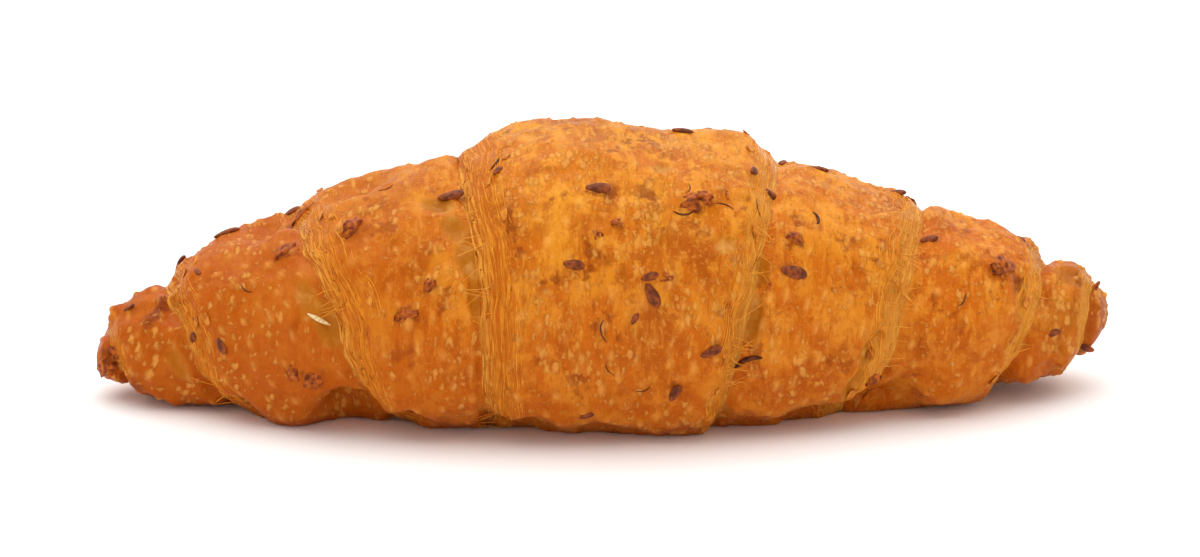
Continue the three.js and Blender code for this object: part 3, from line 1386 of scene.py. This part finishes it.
@dataclass
class CutEdge:
    """The frayed layers along the seams: fibres that lie on the cut edge, and strands across the crease."""

    bed: Bed
    roll: Roll
    fibres: int = 760
    fibre_length: tuple[float, float] = (3.0, 16.0)
    fibre_radius: tuple[float, float] = (0.05, 0.14)
    fibre_taper: float = 0.25
    strand_radius: tuple[float, float] = (0.03, 0.065)
    strand_taper: float = 0.9
    tuft_spread: float = 0.009
    tuft_size: tuple[int, int] = (2, 6)

    def fibre(self, chance: random.Random) -> list[Vector]:
        """One fibre's path along a seam.

        Args:
            chance: the source of random numbers.

        Returns:
            The path, in metres.
        """
        side = chance.choice(list(Side))
        start = 0.03 + 2.5 * chance.random() ** 1.3
        girth = np.interp(self.roll.seam_reach(side, np.array([start]))[0], (20, 52, 80), (150, 115, 60))
        turns = np.linspace(start, start + chance.uniform(*self.fibre_length) / girth, 12)
        seam = self.roll.seam_reach(side, turns)
        width = self.roll.edge_width(side, turns, seam - self.roll.seam_reach(side, turns - 1))
        waver = cloud(np.column_stack([turns * 30, turns * 0, turns * 0]), 1.0, 51)
        inset = chance.uniform(0.0, 1.15) + 0.05 * waver
        points = self.roll.point(turns, side.value * (seam - width * inset), np.zeros_like(turns))
        lifts = chance.uniform(-0.12, 0.03) + 0.12 * cloud(points, 3.0, 52)
        return [self.bed.settle(point, lift) for point, lift in zip(points, lifts)]

    def strand(self, chance: random.Random, side: Side, turn: float) -> list[Vector]:
        """One strand's path across the crease, from the lip of a wrap to the next wrap.

        Args:
            chance: the source of random numbers.
            side: the croissant's half.
            turn: where it crosses the seam.

        Returns:
            The path.
        """
        turns = turn + np.array([0.0, chance.gauss(0.0, 0.012)])
        reach = self.roll.seam_reach(side, turns) + [-chance.uniform(0.2, 1.6), chance.uniform(0.2, 1.9)]
        ends = self.roll.point(turns, side.value * reach, np.zeros(2))
        start, stop = (self.bed.settle(end, 0.0) for end in ends)
        bow = Vector([chance.uniform(-1, 1) for _ in range(3)]) * chance.uniform(0.0, 0.5) * MM
        return [start.lerp(stop, share) + bow * math.sin(math.pi * share) for share in np.linspace(0, 1, 8)]

    def build_fibres(self, material: Finish) -> Piece:
        """Lays the fibres along both seams.

        Args:
            material: the finish.

        Returns:
            The fibres, as one piece.
        """
        chance = random.Random(21)
        paths = [self.fibre(chance) for _ in range(self.fibres)]
        radii = [chance.uniform(*self.fibre_radius) for _ in paths]
        return dress(tubes("cut_edge_fibres", paths, radii, self.fibre_taper), material)

    def build_strands(
        self, runs: Sequence[tuple[Side, float, float, int]], material: Finish
    ) -> Piece:
        """Stretches strands across the creases.

        Args:
            runs: for each run, its side, its first and last turn, and its number of tufts.
            material: the finish.

        Returns:
            The strands, as one piece.
        """
        chance = random.Random(22)
        tufts = [
            (side, chance.uniform(first, last)) for side, first, last, count in runs for _ in range(count)
        ]
        paths = [
            self.strand(chance, side, chance.gauss(turn, self.tuft_spread))
            for side, turn in tufts
            for _ in range(chance.randint(*self.tuft_size))
        ]
        radii = [chance.uniform(*self.strand_radius) for _ in paths]
        return dress(tubes("dough_strands", paths, radii, self.strand_taper), material)


@dataclass
class BranThreads:
    """Thin dark slivers of bran, lying in the crust."""

    bed: Bed
    slivers: Sequence[tuple[Spot, float, float]]
    bow: float = 0.18
    points: int = 9
    lift: float = -0.02
    taper: float = 0.3

    def path(self, spot: Spot, length: float) -> list[Vector]:
        """A sliver's path: bowed, and pressed onto the crust.

        Args:
            spot: its middle and its lie.
            length: its length, in mm.

        Returns:
            The path, in metres.
        """
        setting = self.bed.setting(spot)
        shares = np.linspace(-0.5, 0.5, self.points)
        bows = [self.bow * length * MM * (4 * share * share) for share in shares]
        flat = [Vector((share * length * MM, bow, 0)) for share, bow in zip(shares, bows)]
        return [self.bed.press(setting @ place, self.lift) for place in flat]

    def build(self, material: Finish) -> Piece:
        """Lays the slivers, each of its own length and radius in mm."""
        paths = [self.path(spot, length) for spot, length, _ in self.slivers]
        radii = [radius for _, _, radius in self.slivers]
        return dress(tubes("bran_threads", paths, radii, self.taper), material)


@dataclass
class Flakes:
    """Thin crisp flakes that lift off the lips of the wraps and the horns' tips."""

    bed: Bed
    spots: Sequence[Spot]
    length: float = 3.4
    width: float = 1.9
    thickness: float = 0.22
    curl: float = 0.35
    tearing: float = 0.35
    lift: float = 0.05

    def model(self) -> Piece:
        """Models one curled flake, thick in the middle and lifted at one long side.

        Returns:
            The flake, in metres, at the origin.
        """
        bpy.ops.mesh.primitive_grid_add(x_subdivisions=7, y_subdivisions=4, size=1)
        flake = bpy.context.active_object
        grid = vertex_places(flake)
        torn = 1 + self.tearing * cloud(grid, 0.3, 61)
        x, y, _ = grid.T
        rise = self.curl * (y + 0.5) ** 2 * (1 - 1.5 * x * x)
        shape(flake, self.length * x, self.width * y * torn * (1 - 2.2 * x * x), rise)
        solid = flake.modifiers.new("thickness", "SOLIDIFY")
        solid.thickness = self.thickness * MM
        solid.offset = 0
        bpy.ops.object.modifier_apply(modifier=solid.name)
        bpy.ops.object.shade_smooth()
        return flake

    def build(self, material: Finish) -> Piece:
        """Sets a flake at each spot."""
        settings = [self.bed.setting(spot, self.lift) for spot in self.spots]
        return dress(join_copies("crust_flakes", self.model(), settings), material)


def lip_spots(roll: Roll, count: int) -> list[Spot]:
    """Picks spots for flakes along the lips of the wraps, and on the horns' tips.

    Args:
        roll: the rolled dough.
        count: how many spots.

    Returns:
        The spots; each flake's long side runs along the seam.
    """
    chance = random.Random(31)
    spots = []
    for _ in range(count):
        side = chance.choice(list(Side))
        turn = np.array([chance.uniform(0.1, 2.9)])
        seam = roll.seam_reach(side, turn)
        width = roll.edge_width(side, turn, seam - roll.seam_reach(side, turn - 1))
        reach = side.value * (seam - width * chance.uniform(0.5, 1.1))
        along = roll.point(turn, reach, np.zeros(1))[0, 0]
        lie = side.value * 80 + chance.uniform(-25, 25)
        spots.append(Spot(along, turn[0] % 1, lie, chance.uniform(0.4, 0.8)))
    return spots


@dataclass
class Husk:
    """A pale sliver of husk, pressed into the crust."""

    bed: Bed
    spot: Spot
    length: float = 4.6
    width: float = 0.85
    thickness: float = 0.4
    cupping: float = 0.8
    lift: float = 0.1

    def build(self, material: Finish) -> Piece:
        """Models the sliver: a thin leaf, pointed at both ends and cupped.

        Args:
            material: the finish.

        Returns:
            The sliver.
        """
        bpy.ops.mesh.primitive_uv_sphere_add(segments=12, ring_count=10, radius=0.5)
        husk = bpy.context.active_object
        bpy.ops.object.shade_smooth()
        z, x, y = vertex_places(husk).T
        slim = 1 - 1.6 * x * x
        shape(husk, x * self.length, y * self.width * slim, z * self.thickness * slim + self.cupping * x * x)
        husk.data.transform(self.bed.setting(self.spot, self.lift))
        husk.name = husk.data.name = "oat_husk"
        return dress(husk, material)


@dataclass
class Studio:
    """The pale floor, the soft light and the camera."""

    target: Vector
    floor_size: float = 12.0
    elevation: float = 15.0
    distance: float = 0.7
    view_width: float = 0.2115
    sensor: float = 36.0
    key_lean: tuple[float, float] = (-11.0, -1.0)
    key_strength: float = 2.2
    key_spread: float = 90.0
    fill: float = 0.81

    def build(self) -> None:
        """Builds the floor, the lights, the surroundings and the camera."""
        self.floor()
        self.light()
        self.camera()

    def floor(self) -> None:
        """Lays the floor."""
        bpy.ops.mesh.primitive_plane_add(size=self.floor_size)
        floor = bpy.context.active_object
        floor.name = "studio_floor"
        floor.data.materials.append(StudioWhite().make())

    def light(self) -> None:
        """Hangs a very soft light overhead and fills in from all round."""
        scene = bpy.context.scene
        scene.view_settings.view_transform = "Standard"
        lean = [math.radians(angle) for angle in self.key_lean]
        bpy.ops.object.light_add(type="SUN", rotation=(*lean, 0))
        key = bpy.context.active_object
        key.name = "overhead_softbox"
        key.data.energy = self.key_strength
        key.data.angle = math.radians(self.key_spread)
        world = bpy.data.worlds.new("white_studio")
        scene.world = world
        world.use_nodes = True
        tree = world.node_tree
        path = add_node(tree, "LightPath")
        seen = path.outputs["Is Camera Ray"]
        strength = add_node(tree, "MapRange", {"Value": seen, "To Min": self.fill, "To Max": 1.0})
        background = tree.nodes["Background"]
        background.inputs["Color"].default_value = (1, 1, 1, 1)
        tree.links.new(strength.outputs["Result"], background.inputs["Strength"])

    def camera(self) -> None:
        """Sets up a long lens in front of the croissant, looking slightly down on it."""
        tilt = math.radians(self.elevation)
        back = Vector((0, -math.cos(tilt), math.sin(tilt)))
        bpy.ops.object.camera_add(location=self.target + back * self.distance)
        camera = bpy.context.active_object
        camera.name = "camera"
        camera.rotation_euler = (-back).to_track_quat("-Z", "Y").to_euler()
        camera.data.sensor_width = self.sensor
        camera.data.lens = self.sensor * self.distance / self.view_width
        camera.data.clip_start = 0.01
        bpy.context.scene.camera = camera


# Each row: mm along the roll, share of a turn, lie in degrees, scale.
LINSEED_SPOTS = tuple(
    Spot(*row)
    for row in (
        (-67, 0.53, 15, 1.1), (-26, 0.42, -10, 1.1), (-1, 0.39, -5), (-5, 0.31, -8, 0.85),
        (13.5, 0.51, 0, 0.9), (25.6, 0.44, 60, 0.7), (29, 0.43, -5, 0.9), (7.5, 0.30, 20, 0.7),
        (8, 0.285, -60, 1.05), (5, 0.265, 60, 0.5), (18, 0.24, 25, 0.9), (12, 0.19, 70, 0.9),
        (-3, 0.16, 0, 0.7), (32.4, 0.32, -5, 1.1), (38, 0.51, 0, 0.8), (52, 0.52, 10, 0.8),
        (56.5, 0.42, 0, 0.75), (74, 0.49, 60, 0.7), (79, 0.25, 20, 0.6), (85, 0.14, 0, 1.0),
        (-18.3, 0.43, 60, 0.6), (-71.7, 0.28, 60, 0.7), (-66, 0.26, -50, 0.8), (-71.3, 0.42, -60, 0.5),
        (-84, 0.46, 0, 0.6),
    )
)
KIBBLE_SPOTS = tuple(
    Spot(*row)
    for row in (
        (-54.7, 0.41, 0, 1.3), (-43.4, 0.40, 60, 1.2), (15.2, 0.38, 10, 1.3), (17.3, 0.385, -30, 0.9),
        (69.4, 0.37, 30, 1.5), (32.5, 0.36, 0, 1.0), (-29.4, 0.30, 60, 0.8), (-33.3, 0.27, 10, 1.0),
        (-49.5, 0.20, 20, 1.15), (-53.2, 0.212, 80, 0.9), (-53.5, 0.52, 0, 1.2), (-1.2, 0.34, 50, 0.6),
        (2.3, 0.35, 0, 0.6), (20.4, 0.40, -60, 0.6), (47, 0.19, 10, 1.1), (25.5, 0.33, 80, 0.8),
        (10.3, 0.30, 0, 0.6), (-86.5, 0.30, 0, 1.2), (-88, 0.22, 40, 1.2), (87, 0.44, 0, 0.8),
    )
)
# Each row: the spot's mm along, share and lie, then the sliver's length and radius in mm.
BRAN_SLIVERS = tuple(
    (Spot(*row[:3]), *row[3:])
    for row in (
        (24.5, 0.225, 200, 5.2, 0.5), (36.5, 0.40, 100, 3.4, 0.35), (20.3, 0.385, 170, 3.2, 0.16),
        (14.6, 0.40, 80, 3.0, 0.12), (26.0, 0.39, -75, 3.6, 0.14), (6.7, 0.19, 25, 2.6, 0.14),
        (-0.6, 0.25, -80, 4.2, 0.16), (0.5, 0.215, -60, 3.2, 0.10), (13.2, 0.37, 5, 3.6, 0.22),
        (-18.6, 0.44, 50, 3.0, 0.3), (-38, 0.46, 20, 3.0, 0.15), (62, 0.30, 60, 3.0, 0.14),
        (-62, 0.35, -40, 3.0, 0.16), (-10, 0.62, 30, 4.0, 0.2), (40, 0.66, -30, 3.6, 0.16),
        (-50, 0.64, 70, 3.4, 0.18),
    )
)
# Each row: the spot's mm along, share and lie, then the swell's length, width and height, and its glassiness.
HOLLOWS = tuple(
    Swell(Spot(*row[:3]), *row[3:])
    for row in (
        (9.9, 0.43, 30, 2.2, 1.6, -1.1, 1.0), (51.5, 0.36, 70, 5.0, 2.2, -0.9, 0.9),
        (49.5, 0.30, 70, 6.0, 2.8, -1.3, 1.0), (46.5, 0.235, 65, 6.0, 3.2, -2.1, 1.0),
        (43.5, 0.185, 60, 5.0, 2.8, -1.7, 1.0), (-50.5, 0.31, -75, 5.0, 2.4, -0.9, 0.9),
        (-46.7, 0.27, -70, 5.5, 2.8, -1.2, 1.0), (-28.5, 0.41, -35, 4.2, 2.6, -1.1, 1.0),
        (-25.2, 0.37, -60, 4.2, 2.6, -1.2, 1.0), (-23.2, 0.325, -75, 5.0, 2.3, -1.2, 1.0),
        (-21.8, 0.28, -80, 5.0, 2.0, -1.0, 0.8), (25.8, 0.32, 80, 4.5, 1.8, -0.9, 0.9),
        (25.2, 0.265, 80, 5.5, 2.4, -1.5, 1.0), (20.5, 0.34, 0, 2.8, 2.2, -0.3, 0.8),
        (-74, 0.22, -60, 4.5, 2.2, -0.9, 0.7), (73, 0.30, 70, 4.0, 1.8, -0.8, 0.7),
    )
)
LUMPS = tuple(
    Swell(Spot(*row[:3]), *row[3:])
    for row in (
        (-27, 0.50, 0, 9.0, 11.0, 1.7), (-55, 0.11, 0, 9.0, 7.0, 1.6), (-44, 0.115, 0, 8.0, 10.0, -4.8),
        (-34, 0.11, 0, 5.0, 9.0, -3.0), (-63, 0.12, 0, 6.0, 6.0, -1.4), (-43, 0.50, 0, 9.0, 9.0, -2.5),
        (-60, 0.50, 0, 7.0, 8.0, -1.9), (58, 0.50, 0, 5.0, 8.0, 1.2), (70, 0.50, 0, 6.0, 8.0, 1.0),
        (-76, 0.50, 0, 5.0, 6.0, -0.9), (-76, 0.40, 0, 7.0, 7.0, -1.2), (-80, 0.20, 0, 6.0, 6.0, 1.2),
        (24, 0.11, 0, 9.0, 9.0, -2.2), (8, 0.11, 0, 6.0, 9.0, -1.0), (-1, 0.11, 0, 11.0, 10.0, -2.4),
        (-14, 0.11, 0, 9.0, 10.0, -3.4), (75, 0.12, 0, 5.0, 6.0, 0.9), (50, 0.12, 0, 7.0, 8.0, -3.2),
        (43, 0.115, 0, 7.0, 8.0, -3.4), (36, 0.11, 0, 10.0, 9.0, -3.8), (60, 0.14, 0, 8.0, 7.0, 1.2),
        (-84, 0.75, 0, 6.0, 6.0, 1.4), (30, 0.80, 0, 14.0, 9.0, 1.5), (-45, 0.78, 0, 12.0, 8.0, -1.3),
    )
)
# Each row: the side, the first and last turn, and the number of tufts.
STRAND_RUNS = (
    (Side.RIGHT, 0.2, 0.37, 11),
    (Side.LEFT, 0.24, 0.4, 5),
    (Side.RIGHT, 1.18, 1.4, 11),
    (Side.LEFT, 1.18, 1.36, 5),
    (Side.RIGHT, 2.15, 2.4, 3),
    (Side.LEFT, 2.15, 2.4, 2),
    (Side.RIGHT, 0.6, 0.9, 6),
    (Side.LEFT, 0.6, 0.9, 6),
)
HUSK_SPOT = Spot(-48.7, 0.28, -25)
# How many lie on the side that faces away, how far out in mm, and between which shares of a turn.
BACK_SEEDS = (24, 78, (0.54, 0.86))
BACK_GRAINS = (18, 82, (0.53, 0.88))
# How the crust rises and browns round a seed or grain of scale 1.
SEED_MOUND = Swell(Spot(0, 0), 3.6, 2.4, 0.45, scorched=0.35)
GRAIN_MOUND = Swell(Spot(0, 0), 3.2, 2.6, 0.6, scorched=0.6)
HORN_LUMPS = 44
LIP_FLAKES = 46
CAMERA_TARGET = Vector((-0.0008, 0.0, 0.0221))


def mound(model: Swell, spot: Spot) -> Swell:
    """The rise round a seed or grain at a spot, as long and wide as the spot's scale makes it."""
    return replace(model, spot=spot, length=model.length * spot.size, width=model.width * spot.size)


def horn_lumps(chance: random.Random, count: int) -> list[Swell]:
    """Picks lumps and dents at random over both horns, a few of them scorched.

    Args:
        chance: the source of random numbers.
        count: how many.

    Returns:
        The lumps.
    """
    lumps = []
    for _ in range(count):
        along = chance.choice((-1, 1)) * chance.uniform(66, 90)
        spot = Spot(along, chance.random(), chance.uniform(-90, 90))
        length, width = chance.uniform(2.8, 5.2), chance.uniform(2.3, 3.6)
        height = chance.uniform(-0.9, 1.1)
        lumps.append(Swell(spot, length, width, height, scorched=chance.choice((0.0, 0.3, 0.7))))
    return lumps


def main() -> None:
    """Builds the croissant and its studio."""
    logging.basicConfig(level=logging.INFO, format="%(name)s: %(message)s")
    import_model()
    low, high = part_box(NODE)
    roll = Roll(half_length=(high.x - low.x) / 2 / MM)
    chance = random.Random(5)
    seed_spots = [*LINSEED_SPOTS, *scatter(chance, *BACK_SEEDS)]
    grain_spots = [*KIBBLE_SPOTS, *scatter(chance, *BACK_GRAINS)]
    mounds = [mound(SEED_MOUND, spot) for spot in seed_spots]
    mounds += [mound(GRAIN_MOUND, spot) for spot in grain_spots]
    crust = Crust(roll, (*LUMPS, *horn_lumps(chance, HORN_LUMPS), *HOLLOWS, *mounds))
    skin = crust.build(BakedCrust().make())
    bed = crust.bed(skin)
    Linseeds(bed, seed_spots).build(LINSEED_HULL.make())
    Kibbles(bed, grain_spots).build(TOASTED_GRAIN.make())
    torn_dough = TORN_DOUGH.make()
    cut_edge = CutEdge(bed, roll)
    cut_edge.build_fibres(torn_dough)
    cut_edge.build_strands(STRAND_RUNS, STRETCHED_DOUGH.make())
    BranThreads(bed, BRAN_SLIVERS).build(BRAN.make())
    Flakes(bed, lip_spots(roll, LIP_FLAKES)).build(CRISP_FLAKE.make())
    Husk(bed, HUSK_SPOT).build(OAT_HUSK.make())
    Studio(CAMERA_TARGET).build()


if __name__ == "__main__":
    main()
